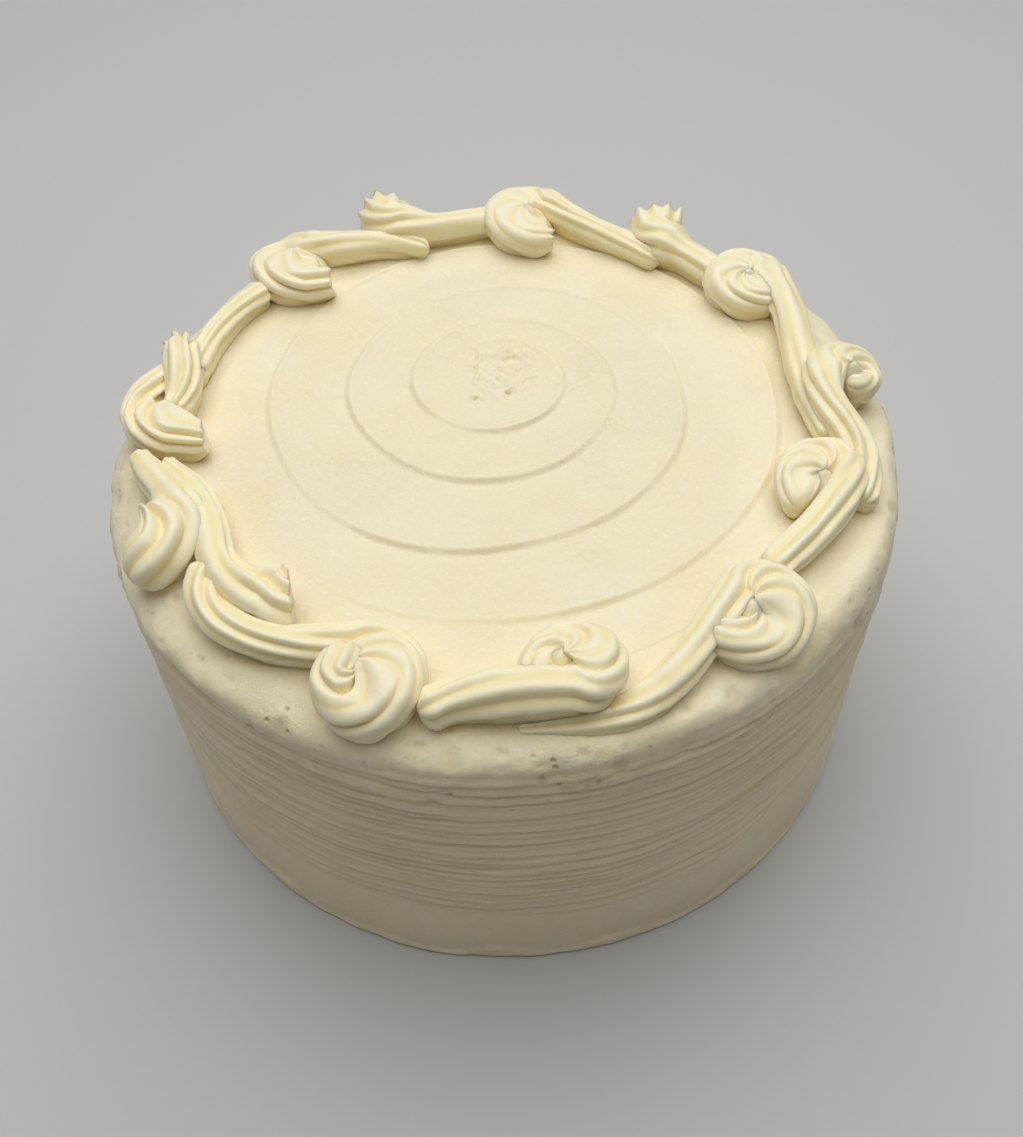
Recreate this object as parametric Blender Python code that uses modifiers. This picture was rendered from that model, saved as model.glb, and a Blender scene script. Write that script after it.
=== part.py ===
"""A round white cake in smooth icing, with a border of piped scrolls along its top edge.

Metres, +Z up. The origin is the middle of the flat underside, and +Y points away from the viewer.
"""

import bpy
import bmesh
import math
from collections import namedtuple

import numpy as np

MM = 0.001

# Cake
CAKE_RADIUS = 0.105
CAKE_HEIGHT = 0.1008
SHOULDER_RADIUS = 0.0151
SHOULDER_STEPS = 5
SHOULDER_SHARE = 0.995
FOOT_SPREAD = 0.0009
FOOT_LIP_HEIGHT = 0.0045
UNDERSIDE_EDGE = 0.0012
SEAM_GAP = 0.0001
CAKE_SIDES = 40
FIRST_TOP_RING = 0.006
LAST_TOP_RING = 0.072
TOP_RING_COUNT = 11

# Lines left in the side by the comb, from the lowest to the highest
COMB_LOW = 0.0300
COMB_HIGH = 0.0820
COMB_LINES = 12
COMB_DEPTH = 0.00055
COMB_WAVE = 0.0007
COMB_WAVES_ROUND = 2.0
COMB_WAVE_SHIFT = 0.9
COMB_FADES_ROUND = 3.0
COMB_FADE_SHIFT = 1.7
COMB_FADE = 0.25
SIDE_SHARE = 0.99

# Groove wound outwards over the top, clockwise from above, as the cake turned under the knife
SPIRAL_CENTRE = (-0.002, 0.010)
SPIRAL_PITCH = 0.0190
SPIRAL_DEPTH = 0.00045
SPIRAL_EDGE = 0.066
TOP_TOLERANCE = 0.0002

# Piped rope: a star section, a little pressed, with its foot spread on the icing below
RIDGES = 8
GROOVE_SHARE = 0.80
HEIGHT_SHARE = 0.92
FOOT_DEPTH = 1.5
PINCH_SHARE = 0.86
TOOTH_LENGTH = 0.0011
END_HOLLOW = 0.0016
END_POINT = 0.6
LONGEST_STEP = 0.0056
LARGEST_TURN = math.radians(20.0)
FILL_LIMIT = 2.0
HEAD_FADE = 0.3
TAIL_SWELL = 0.35
TAIL_TAPER = 0.25
DRAPE_RADIUS = 0.0998
GAP = 0.0003
SHOULDER_GAP = 0.0012
SHOULDER_GAP_GROWTH = 3.0
ROUTE_SAMPLES = 400

# Rounded copy of each rope that trims the scroll lying under it
CUTTER_ARC_STEPS = 6
CUTTER_DEPTH = 0.0020
CUTTER_GAP = 0.0003
CUTTER_POINT = 0.9

ICING_COLOUR = (0.80, 0.72, 0.50, 1.0)
PIPING_COLOUR = (0.82, 0.75, 0.55, 1.0)
ICING_ROUGHNESS = 0.48
PIPING_ROUGHNESS = 0.42
SHARP_ANGLE = math.radians(40.0)

Line = namedtuple("Line", "points along size bend fill")
Station = namedtuple("Station", "centre ahead right above radius reach")

# Each scroll is a question mark: a head that turns, then a tail that runs on clockwise round the cake.
# head and tail: where the head turns and where the tail ends, in degrees round the cake and millimetres out
# turn_radius, turn: the head's bend, from one radius to the other, through degrees anticlockwise
# heading, tail_heading: the direction that the rope takes at its start and its end, in degrees
# straight: the straight start before the bend, and pulls: how stiffly the tail leaves and arrives
# size: the rope's radius at its start, head, tail and end
# lift: how high its middle line runs over the icing at its start, head and tail
Scroll = namedtuple("Scroll", "head turn_radius heading turn straight tail tail_heading pulls size lift")

SCROLLS = (
    Scroll((82, 88), (12.2, 7.7), 183, -239, 5.3,
           (55, 80.5), -46, (0.9, 1.1), (4.6, 4.7, 4.3, 3.6), (5.2, 5.8, 3.4)),
    Scroll((53, 94), (6.8, 7.7), -82, 42, 4.2,
           (38, 84.5), -56, (1.0, 1.0), (8.3, 6.8, 4.9, 4.2), (7.3, 5.6, 4.2)),
    Scroll((34, 88), (8.9, 7.0), 205, -283, 0.0,
           (-9, 84.7), -81, (1.5, 1.5), (4.4, 5.2, 4.7, 4.2), (5.2, 5.8, 4.2)),
    Scroll((4, 94), (3.8, 7.2), 8, 260, 0.4,
           (-22, 94.8), -114, (1.3, 1.4), (3.2, 4.7, 4.6, 3.8), (5.2, 9.6, 4.2)),
    Scroll((-21, 85), (8.9, 6.9), 101, -136, 4.6,
           (-42, 84.5), -139, (0.8, 1.1), (3.9, 4.9, 4.8, 4.7), (4.6, 5.8, 4.2)),
    Scroll((-51, 88), (12.4, 5.3), -42, 262, 0.0,
           (-89, 95.0), -178, (1.9, 1.4), (4.6, 4.8, 4.6, 2.0), (5.2, 5.8, 0.2)),
    Scroll((-81, 86), (8.3, 5.9), 87, -267, 0.0,
           (-99, 94.0), -162, (1.0, 0.9), (4.4, 5.5, 5.9, 4.7), (6.3, 7.4, 5.2)),
    Scroll((-111, 91), (5.5, 11.1), -98, 291, 3.6,
           (-144, 88.0), 83, (1.4, 1.0), (4.6, 4.9, 4.6, 5.0), (7.0, 5.8, 4.2)),
    Scroll((-134, 74), (9.0, 8.8), 190, -37, 0.0,
           (-170, 86.7), 134, (1.4, 1.7), (5.4, 5.2, 4.7, 3.1), (6.5, 6.2, 4.2)),
    Scroll((-157, 96), (9.5, 10.0), 35, 89, 1.8,
           (-173, 93.8), 123, (0.9, 1.0), (7.8, 6.6, 4.5, 3.1), (5.6, 6.2, 4.2)),
    Scroll((175, 84), (12.6, 12.6), 170, -91, 9.6,
           (164, 91.9), 76, (0.9, 1.1), (5.2, 4.9, 4.7, 3.7), (5.2, 5.8, 4.2)),
    Scroll((163, 98), (5.7, 7.3), -72, -35, 1.4,
           (175, 86.1), -106, (0.9, 1.2), (4.2, 4.8, 5.0, 4.2), (6.3, 7.9, 5.2)),
    Scroll((130, 90), (12.0, 8.2), 194, -218, 7.2,
           (107, 79.5), -22, (0.9, 1.1), (5.7, 4.8, 4.6, 3.3), (5.2, 5.8, 3.4)),
    Scroll((106, 95), (6.5, 7.6), -70, 61, 4.6,
           (88, 86.7), 0, (1.1, 1.1), (8.0, 6.4, 4.8, 4.7), (6.8, 5.2, 4.2)),
)

# Scrolls whose head is wound so closely that the rope lies against itself
FOLDED = (1, 3, 5, 6, 7, 8)

# The twelfth scroll was piped in two strokes: this second one starts under the first
SECOND_STROKE_OF = 12
SECOND_STROKE = Scroll((165, 80.3), (6.1, 6.7), 81, -20, 0.0,
                       (141.5, 88.3), 49, (1.0, 1.3), (3.8, 4.2, 4.2, 4.2), (3.1, 3.7, 4.2))


def clear_scene():
    for obj in list(bpy.data.objects):
        bpy.data.objects.remove(obj, do_unlink=True)


def new_collection(name):
    collection = bpy.data.collections.new(name)
    bpy.context.scene.collection.children.link(collection)
    return collection


def new_material(name, colour, roughness):
    material = bpy.data.materials.new(name)
    material.use_nodes = True
    shader = material.node_tree.nodes["Principled BSDF"]
    shader.inputs["Base Color"].default_value = colour
    shader.inputs["Roughness"].default_value = roughness
    shader.inputs["Metallic"].default_value = 0.0
    return material


def new_object(name, mesh, collection, material=None):
    obj = bpy.data.objects.new(name, mesh)
    collection.objects.link(obj)
    if material:
        mesh.materials.append(material)
    return obj


def smooth(share):
    share = np.clip(share, 0.0, 1.0)
    return share * share * (3.0 - 2.0 * share)


def top_height(distance):
    """Height of the icing at this distance from the middle: flat, then round the shoulder."""
    flat = CAKE_RADIUS - SHOULDER_RADIUS
    over = np.clip(distance - flat, 0.0, SHOULDER_RADIUS * SHOULDER_SHARE)
    return CAKE_HEIGHT - SHOULDER_RADIUS + np.sqrt(SHOULDER_RADIUS**2 - over**2)


# Cake
def cake_profile():
    """Distance and height of each point of the outline, from the top's middle to the underside's."""
    points = [(0.0, CAKE_HEIGHT)]
    for radius in np.linspace(FIRST_TOP_RING, LAST_TOP_RING, TOP_RING_COUNT):
        points.append((radius, CAKE_HEIGHT))
    flat = CAKE_RADIUS - SHOULDER_RADIUS
    for step in range(SHOULDER_STEPS + 1):
        angle = 0.5 * math.pi * step / SHOULDER_STEPS
        radius = flat + SHOULDER_RADIUS * math.sin(angle)
        points.append((radius, CAKE_HEIGHT - SHOULDER_RADIUS * (1.0 - math.cos(angle))))
    for row in range(2 * COMB_LINES, -1, -1):
        points.append((CAKE_RADIUS, COMB_LOW + (COMB_HIGH - COMB_LOW) * row / (2 * COMB_LINES)))
    points.append((CAKE_RADIUS, 2.0 * FOOT_LIP_HEIGHT))
    points.append((CAKE_RADIUS + FOOT_SPREAD, FOOT_LIP_HEIGHT))
    points.append((CAKE_RADIUS + FOOT_SPREAD, UNDERSIDE_EDGE))
    points.append((CAKE_RADIUS + FOOT_SPREAD - UNDERSIDE_EDGE, 0.0))
    points.append((0.0, 0.0))
    return points


def comb_relief(x, y, z):
    """Radial cut and rise of a point of the side: every second row is a groove that wanders a little."""
    row = round(2 * COMB_LINES * (z - COMB_LOW) / (COMB_HIGH - COMB_LOW))
    if row < 0 or row > 2 * COMB_LINES or math.hypot(x, y) < SIDE_SHARE * CAKE_RADIUS:
        return 0.0, 0.0
    angle = math.atan2(y, x)
    rise = COMB_WAVE * math.sin(COMB_WAVES_ROUND * angle + COMB_WAVE_SHIFT * row)
    if row % 2 == 0:
        return 0.0, rise
    fade = math.sin(COMB_FADES_ROUND * angle + COMB_FADE_SHIFT * row)
    return COMB_DEPTH * (1.0 - COMB_FADE + COMB_FADE * fade), rise


def spiral_relief(x, y):
    """Depth of the groove at a point of the top."""
    dx = x - SPIRAL_CENTRE[0]
    dy = y - SPIRAL_CENTRE[1]
    away = math.hypot(dx, dy)
    turns = away / SPIRAL_PITCH + math.atan2(dy, dx) / (2.0 * math.pi)
    fade = smooth((SPIRAL_EDGE - math.hypot(x, y)) / SPIRAL_PITCH) * smooth(away / SPIRAL_PITCH)
    return float(SPIRAL_DEPTH * fade * (0.5 + 0.5 * math.cos(2.0 * math.pi * turns)))


def make_cake(collection, material):
    profile = cake_profile()
    outline = bpy.data.meshes.new("cake outline")
    outline.from_pydata(
        [(radius, 0.0, height) for radius, height in profile],
        [(i, i + 1) for i in range(len(profile) - 1)],
        [],
    )
    blank = new_object("cake outline", outline, collection)
    screw = blank.modifiers.new("turn", "SCREW")
    screw.steps = CAKE_SIDES
    screw.render_steps = CAKE_SIDES
    screw.use_merge_vertices = True
    screw.merge_threshold = SEAM_GAP
    bpy.context.view_layer.update()
    graph = bpy.context.evaluated_depsgraph_get()
    mesh = bpy.data.meshes.new_from_object(blank.evaluated_get(graph))
    bpy.data.objects.remove(blank, do_unlink=True)
    mesh.name = "cake"
    for vertex in mesh.vertices:
        x, y, z = vertex.co
        cut, rise = comb_relief(x, y, z)
        keep = 1.0 - cut / CAKE_RADIUS
        sink = spiral_relief(x, y) if z > CAKE_HEIGHT - TOP_TOLERANCE else 0.0
        vertex.co = (x * keep, y * keep, z + rise - sink)
    cake = new_object("cake", mesh, collection, material)
    mesh.shade_smooth()
    mesh.set_sharp_from_angle(angle=SHARP_ANGLE)
    return cake


# Ropes
def direction_of(angle):
    """Unit vector on the plan, from an angle in degrees."""
    return np.array([math.cos(math.radians(angle)), math.sin(math.radians(angle))])


def on_plan(place):
    angle, distance = place
    return distance * MM * direction_of(angle)


def route(scroll):
    """Middle line seen from above: its points, how far along each lies, and how far along the head ends."""
    side = 1.0 if scroll.turn > 0 else -1.0
    share = np.linspace(0.0, 1.0, ROUTE_SAMPLES // 3)
    angle = np.radians(scroll.heading - 90.0 * side + scroll.turn * share)
    radius = MM * (scroll.turn_radius[0] + (scroll.turn_radius[1] - scroll.turn_radius[0]) * share)
    head = on_plan(scroll.head) + radius[:, None] * np.stack([np.cos(angle), np.sin(angle)], -1)
    if scroll.straight > 0.0:
        start = head[1] - head[0]
        start = start / np.linalg.norm(start)
        back = MM * scroll.straight * np.linspace(1.0, 0.0, ROUTE_SAMPLES // 10)[:-1]
        head = np.vstack([head[0] - start * back[:, None], head])
    leave = head[-1] - head[-2]
    leave = leave / np.linalg.norm(leave)
    end = on_plan(scroll.tail)
    span = np.linalg.norm(end - head[-1])
    arrive = direction_of(scroll.tail_heading)
    t = share[1:, None]
    tail = (
        (2.0 * t**3 - 3.0 * t**2 + 1.0) * head[-1]
        + (t**3 - 2.0 * t**2 + t) * leave * span * scroll.pulls[0]
        + (3.0 * t**2 - 2.0 * t**3) * end
        + (t**3 - t**2) * arrive * span * scroll.pulls[1]
    )
    line = np.vstack([head, tail])
    along = np.concatenate([[0.0], np.cumsum(np.linalg.norm(np.diff(line, axis=0), axis=1))])
    even = np.linspace(0.0, along[-1], ROUTE_SAMPLES)
    points = np.stack([np.interp(even, along, line[:, 0]), np.interp(even, along, line[:, 1])], -1)
    return points, even, along[len(head) - 1]


def middle_line(scroll):
    """The scroll's middle line in space, with what changes along it."""
    points, along, head = route(scroll)
    length = along[-1]
    in_head = along / head
    in_tail = (along - head) / (length - head)
    start, top, tail = (MM * value for value in scroll.lift)
    lift = np.where(
        in_head < 1.0,
        start + (top - start) * smooth(in_head),
        top + (tail - top) * smooth(in_tail),
    )
    under = top_height(np.minimum(np.hypot(points[:, 0], points[:, 1]), DRAPE_RADIUS))
    first, middle, last, end = (MM * value for value in scroll.size)
    size = np.where(
        in_head < 1.0,
        first + (middle - first) * smooth(in_head),
        middle + (last - middle) * smooth(in_tail / TAIL_SWELL),
    )
    size = size * (1.0 - (1.0 - end / last) * smooth((along / length - 1.0 + TAIL_TAPER) / TAIL_TAPER))
    heading = np.unwrap(np.arctan2(np.gradient(points[:, 1]), np.gradient(points[:, 0])))
    bend = np.gradient(heading, along)
    fill = 1.0 - smooth((along - head) / (HEAD_FADE * (length - head)))
    return Line(np.column_stack([points, under + lift]), along, size, bend, fill)


def ring_places(line):
    """Where the rings stand: closer together where the rope bends."""
    cost = np.maximum(1.0 / LONGEST_STEP, np.abs(line.bend) / LARGEST_TURN)
    total = np.concatenate([[0.0], np.cumsum(0.5 * (cost[1:] + cost[:-1]) * np.diff(line.along))])
    count = int(math.ceil(total[-1]))
    return np.interp(np.linspace(0.0, total[-1], count + 1), total, line.along)


def stations(scroll):
    """For each ring: its middle, its directions, the rope's radius there and its reach to left and right.

    In the head the inner side reaches in to the middle of the turn, so the coil closes up. On a tight bend
    the inner side is squeezed instead.
    """
    line = middle_line(scroll)
    direction = np.gradient(line.points, axis=0)
    head_middle = on_plan(scroll.head)
    found = []
    for place in ring_places(line):
        centre = np.array([np.interp(place, line.along, line.points[:, axis]) for axis in range(3)])
        ahead = np.array([np.interp(place, line.along, direction[:, axis]) for axis in range(3)])
        ahead = ahead / np.linalg.norm(ahead)
        right = np.cross(ahead, (0.0, 0.0, 1.0))
        right = right / np.linalg.norm(right)
        radius = float(np.interp(place, line.along, line.size))
        bend = float(np.interp(place, line.along, line.bend))
        fill = float(np.interp(place, line.along, line.fill))
        room = min(PINCH_SHARE * np.linalg.norm(centre[:2] - head_middle), FILL_LIMIT * radius)
        inner = min(PINCH_SHARE / max(abs(bend), 1.0), radius + fill * max(0.0, room - radius))
        turns_left = bend > 0.0 if fill < 1.0 else scroll.turn > 0.0
        reach = (inner, radius) if turns_left else (radius, inner)
        found.append(Station(centre, ahead, right, np.cross(right, ahead), radius, reach))
    return found


def star_section():
    """Angle, reach and kind of each point of the section, from its right side over the top to its foot."""
    points = []
    for step in range(RIDGES + 1):
        points.append((step * math.pi / RIDGES, GROOVE_SHARE if step % 2 else 1.0, "side"))
    points.append((math.pi + math.pi / RIDGES, GROOVE_SHARE, "side"))
    for step in (5, 6, 7):
        points.append((step * math.pi / 4.0, 1.0, "foot"))
    points.append((-math.pi / RIDGES, GROOVE_SHARE, "side"))
    return points


def rope_rings(scroll):
    """Every ring of the rope, with the start's teeth drawn out and the foot spread on the icing."""
    rings = []
    for number, at in enumerate(stations(scroll)):
        ring = []
        for angle, share, kind in star_section():
            across = share * math.cos(angle) * (at.reach[0] if math.cos(angle) < 0.0 else at.reach[1])
            rise = share * math.sin(angle) * HEIGHT_SHARE * at.radius
            point = at.centre + across * at.right + rise * at.above
            if number == 0 and kind == "side" and share == 1.0:
                point = point - TOOTH_LENGTH * at.ahead
            distance = math.hypot(point[0], point[1])
            over = max(0.0, distance - CAKE_RADIUS + SHOULDER_RADIUS) / SHOULDER_RADIUS
            floor = float(top_height(distance)) + GAP + SHOULDER_GAP * min(1.0, SHOULDER_GAP_GROWTH * over)
            lowest = at.centre[2] - FOOT_DEPTH * at.radius
            point[2] = max(floor, lowest) if kind == "foot" else max(floor, point[2])
            ring.append(point)
        rings.append(ring)
    return rings


def cutter_rings(scroll):
    """Rings of a plain arch round the rope, a gap wider than it and running down below the icing."""
    outside = 1.0 / math.cos(0.5 * math.pi / CUTTER_ARC_STEPS)
    rings = []
    for number, at in enumerate(stations(scroll)):
        ring = []
        behind = TOOTH_LENGTH + CUTTER_GAP if number == 0 else 0.0
        radius = outside * (at.radius + CUTTER_GAP)
        left = outside * at.reach[0] + (CUTTER_GAP if at.reach[0] >= at.radius else 0.0)
        right = outside * at.reach[1] + (CUTTER_GAP if at.reach[1] >= at.radius else 0.0)
        for step in range(CUTTER_ARC_STEPS + 1):
            angle = math.pi * step / CUTTER_ARC_STEPS
            across = math.cos(angle) * (left if math.cos(angle) < 0.0 else right)
            ring.append(at.centre + across * at.right + radius * math.sin(angle) * at.above)
        for across in (-left, right):
            point = at.centre + across * at.right
            distance = math.hypot(point[0], point[1])
            point[2] = min(float(top_height(distance)), at.centre[2] - at.radius) - CUTTER_DEPTH
            ring.append(point)
        rings.append([point - behind * at.ahead for point in ring])
    return rings


def loft(name, rings, start_middle, end_middle):
    """Closed mesh through the rings, its ends drawn to these two points."""
    form = bmesh.new()
    loops = [[form.verts.new(point) for point in ring] for ring in rings]
    count = len(loops[0])
    for first, second in zip(loops[:-1], loops[1:]):
        for i in range(count):
            j = (i + 1) % count
            form.faces.new((first[i], first[j], second[j], second[i]))
    start = form.verts.new(start_middle)
    end = form.verts.new(end_middle)
    for i in range(count):
        j = (i + 1) % count
        form.faces.new((loops[0][j], loops[0][i], start))
        form.faces.new((loops[-1][i], loops[-1][j], end))
    bmesh.ops.recalc_face_normals(form, faces=form.faces)
    mesh = bpy.data.meshes.new(name)
    form.to_mesh(mesh)
    form.free()
    return mesh


def make_scroll(name, scroll, collection, material):
    places = stations(scroll)
    start = places[0].centre + END_HOLLOW * places[0].ahead
    end = places[-1].centre + END_POINT * places[-1].radius * places[-1].ahead
    mesh = loft(name, rope_rings(scroll), start, end)
    obj = new_object(name, mesh, collection, material)
    mesh.shade_smooth()
    mesh.set_sharp_from_angle(angle=SHARP_ANGLE)
    return obj


def hide_cutter(obj):
    obj.hide_render = True
    obj.display_type = "WIRE"


def make_cutter(name, scroll, collection):
    places = stations(scroll)
    start = places[0].centre - (TOOTH_LENGTH + CUTTER_GAP) * places[0].ahead
    end = places[-1].centre + CUTTER_POINT * places[-1].radius * places[-1].ahead
    mesh = loft(name, cutter_rings(scroll), start, end)
    obj = new_object(name, mesh, collection)
    hide_cutter(obj)
    return obj


def join(obj, other):
    modifier = obj.modifiers.new("second stroke", "BOOLEAN")
    modifier.operation = "UNION"
    modifier.object = other


def trim(obj, cutter, against_itself):
    """Cut the rope clear of the one above, and fuse its own folds where it lies against itself."""
    modifier = obj.modifiers.new("under " + cutter.name, "BOOLEAN")
    modifier.operation = "DIFFERENCE"
    modifier.use_self = against_itself
    modifier.object = cutter


def main():
    clear_scene()
    parts = new_collection("white cake")
    cutters = new_collection("cutters")
    icing = new_material("smooth icing", ICING_COLOUR, ICING_ROUGHNESS)
    piping = new_material("piped icing", PIPING_COLOUR, PIPING_ROUGHNESS)
    make_cake(parts, icing)
    scrolls = []
    blanks = []
    for number, scroll in enumerate(SCROLLS, start=1):
        scrolls.append(make_scroll(f"scroll_{number:02d}", scroll, parts, piping))
        blanks.append([make_cutter(f"room_{number:02d}", scroll, cutters)])
    second = make_scroll("second_stroke", SECOND_STROKE, cutters, piping)
    hide_cutter(second)
    join(scrolls[SECOND_STROKE_OF - 1], second)
    blanks[SECOND_STROKE_OF - 1].append(make_cutter("room_second_stroke", SECOND_STROKE, cutters))
    for number, obj in enumerate(scrolls):
        for ahead in (1, 2):
            for cutter in blanks[(number + ahead) % len(scrolls)]:
                trim(obj, cutter, number + 1 in FOLDED)


main()
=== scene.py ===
# %% [markdown]
# # A white cake with a piped border
#
# This lesson dresses a round layer cake in smooth white icing. The solid model gives the cake's
# body and fourteen piped scrolls round its top edge. Here each of them gets the surface that a
# baker leaves: a turntable spiral on the top, comb lines on the side, and the sharp ridges that a
# star nozzle presses into piped icing. The model is loaded first, and everything is placed in its
# frame, in metres, with the origin in the middle of the underside.

import math
from collections import namedtuple

import bpy
import numpy as np
from mathutils import Matrix, Vector


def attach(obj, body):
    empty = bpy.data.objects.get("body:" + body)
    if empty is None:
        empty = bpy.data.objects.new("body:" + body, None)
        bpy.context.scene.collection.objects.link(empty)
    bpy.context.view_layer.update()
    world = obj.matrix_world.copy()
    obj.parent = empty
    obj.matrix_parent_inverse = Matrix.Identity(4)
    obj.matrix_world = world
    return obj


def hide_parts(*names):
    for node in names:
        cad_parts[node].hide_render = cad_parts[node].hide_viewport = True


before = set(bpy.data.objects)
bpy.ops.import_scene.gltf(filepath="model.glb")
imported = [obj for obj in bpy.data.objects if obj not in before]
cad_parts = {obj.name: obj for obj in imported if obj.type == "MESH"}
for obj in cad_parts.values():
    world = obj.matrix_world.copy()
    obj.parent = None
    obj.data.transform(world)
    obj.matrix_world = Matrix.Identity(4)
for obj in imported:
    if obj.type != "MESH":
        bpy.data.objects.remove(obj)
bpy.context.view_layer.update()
MM = 0.001

# %% [markdown]
# ## Camera
#
# The cake is seen from above and in front, as by someone standing at the table. A camera could be
# aimed with a Track To constraint, but a fixed matrix also holds the small roll of a hand-held
# picture. The three angles below turn it down, sideways and about its own axis.

# %% Camera
CAMERA_PLACE = (0.0, -0.2344, 0.3210)
LOOKS_DOWN = 0.87499
LOOKS_RIGHT = 0.00448
ROLL = -0.04397
FOCAL_PIXELS = 1200.0
PICTURE_HEIGHT = 1137.0
SENSOR_WIDTH = 36.0


def make_camera():
    """A camera at the height and slant of the picture, added to the scene and made its active one."""
    ahead = Vector((
        math.sin(LOOKS_RIGHT) * math.cos(LOOKS_DOWN),
        math.cos(LOOKS_RIGHT) * math.cos(LOOKS_DOWN),
        -math.sin(LOOKS_DOWN),
    ))
    level = ahead.cross(Vector((0.0, 0.0, 1.0))).normalized()
    upright = level.cross(ahead)
    across = math.cos(ROLL) * level + math.sin(ROLL) * upright
    up = -math.sin(ROLL) * level + math.cos(ROLL) * upright
    data = bpy.data.cameras.new("camera")
    data.sensor_width = SENSOR_WIDTH
    data.lens = FOCAL_PIXELS / PICTURE_HEIGHT * SENSOR_WIDTH
    camera = bpy.data.objects.new("camera", data)
    camera.matrix_world = Matrix.Translation(CAMERA_PLACE) @ Matrix((across, up, -ahead)).transposed().to_4x4()
    bpy.context.scene.collection.objects.link(camera)
    bpy.context.scene.camera = camera
    return camera


camera = make_camera()
print("camera lens:", round(camera.data.lens, 2), "mm")

# %% [markdown]
# ## Light and floor
#
# A kitchen lights a cake from the ceiling: the top is bright, the side is left in its own shade,
# and what reaches the side has come back off the table. One wide area light, high up and a little
# behind the cake, does this. A dim even world fills the shadows, and the pale floor gives the
# bounce. A small hard lamp would be simpler, but it would draw dark lines under every ridge.

# %% Light and floor
CEILING_PLACE = (0.02, 0.26, 1.10)
CEILING_SIZE = 1.40
CEILING_POWER = 13.8
WORLD_COLOUR = (1.0, 0.985, 0.97, 1.0)
WORLD_STRENGTH = 0.15
FLOOR_COLOUR = (0.575, 0.563, 0.552, 1.0)
FLOOR_ROUGHNESS = 0.60
FLOOR_HALF = 3.0
FLOOR_HEIGHT = -0.0001


def new_material(name):
    """An empty Principled material, with its node tree and its shader."""
    material = bpy.data.materials.new(name)
    material.use_nodes = True
    return material, material.node_tree, material.node_tree.nodes["Principled BSDF"]


def make_light():
    data = bpy.data.lights.new("ceiling light", "AREA")
    data.shape = "SQUARE"
    data.size = CEILING_SIZE
    data.energy = CEILING_POWER
    light = bpy.data.objects.new("ceiling light", data)
    light.location = CEILING_PLACE
    aim = Vector((0.0, 0.0, 0.08)) - Vector(CEILING_PLACE)
    light.rotation_mode = "QUATERNION"
    light.rotation_quaternion = aim.to_track_quat("-Z", "Y")
    bpy.context.scene.collection.objects.link(light)
    return light


def make_world():
    world = bpy.data.worlds.new("even grey")
    world.use_nodes = True
    background = world.node_tree.nodes["Background"]
    background.inputs["Color"].default_value = WORLD_COLOUR
    background.inputs["Strength"].default_value = WORLD_STRENGTH
    bpy.context.scene.world = world
    return world


def make_floor():
    material, tree, shader = new_material("pale floor")
    shader.inputs["Roughness"].default_value = FLOOR_ROUGHNESS
    shader.inputs["Base Color"].default_value = FLOOR_COLOUR
    mesh = bpy.data.meshes.new("floor")
    corners = [(-FLOOR_HALF, -FLOOR_HALF), (FLOOR_HALF, -FLOOR_HALF), (FLOOR_HALF, FLOOR_HALF), (-FLOOR_HALF, FLOOR_HALF)]
    mesh.from_pydata([(x, y, FLOOR_HEIGHT) for x, y in corners], [], [(0, 1, 2, 3)])
    mesh.materials.append(material)
    floor = bpy.data.objects.new("floor", mesh)
    bpy.context.scene.collection.objects.link(floor)
    return floor


make_light()
make_world()
make_floor()
bpy.context.scene.view_settings.view_transform = "Standard"
print("light, world and floor are in")

# %% [markdown]
# ## Icing as a material
#
# Beaten icing is fat, sugar and air. It is cream coloured, not white, and light that falls into a
# groove bounces between two yellow walls, so the grooves look warmer than the crests. The colour
# therefore runs from crest to groove by a value, called hollow, that the modelling code stores on
# every vertex: the groove colour is painted warm bounce light, and on the smooth icing it is painted
# shade as well. A little subsurface scattering softens the edges. The bump has three scales: soft
# lumps of 2 mm, sugar grain of half a millimetre, and scattered pin holes where air came out; on
# the smooth icing these pin holes are also darkened with painted shade. Image textures would tie
# the finish to one unwrapping, so all of it is made from 3-D noise.

# %% Icing material
HOLLOW = "hollow"
SUBSURFACE_RADIUS = (1.0, 0.93, 0.75)
FLECK_SHARE = 0.6
PIT_SHADE = 0.85


def texture(tree, kind, coordinate, scale, **values):
    """A noise or Voronoi texture node on this coordinate, with a scale in features per metre."""
    node = tree.nodes.new(kind)
    tree.links.new(coordinate, node.inputs["Vector"])
    node.inputs["Scale"].default_value = scale
    for name, value in values.items():
        node.inputs[name].default_value = value
    return node


def spread(tree, value, low, high, bottom=0.0, top=1.0):
    """Map Range: low to high becomes bottom to top, clamped."""
    node = tree.nodes.new("ShaderNodeMapRange")
    tree.links.new(value, node.inputs["Value"])
    node.inputs["From Min"].default_value = low
    node.inputs["From Max"].default_value = high
    node.inputs["To Min"].default_value = bottom
    node.inputs["To Max"].default_value = top
    return node.outputs["Result"]


def blend_colours(tree, share, first, second):
    """Mix two colours, each a value or a socket, by this share."""
    node = tree.nodes.new("ShaderNodeMix")
    node.data_type = "RGBA"
    tree.links.new(share, node.inputs[0])
    for socket, colour in ((node.inputs[6], first), (node.inputs[7], second)):
        if isinstance(colour, tuple):
            socket.default_value = colour
        else:
            tree.links.new(colour, socket)
    return node.outputs[2]


def product(tree, first, second):
    """One value times another."""
    node = tree.nodes.new("ShaderNodeMath")
    node.operation = "MULTIPLY"
    tree.links.new(first, node.inputs[0])
    tree.links.new(second, node.inputs[1])
    return node.outputs[0]


def bump(tree, height, distance, strength, below=None):
    """A Bump node, on top of another one's normal if that is given."""
    node = tree.nodes.new("ShaderNodeBump")
    tree.links.new(height, node.inputs["Height"])
    node.inputs["Distance"].default_value = distance
    node.inputs["Strength"].default_value = strength
    if below is not None:
        tree.links.new(below, node.inputs["Normal"])
    return node.outputs["Normal"]


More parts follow.
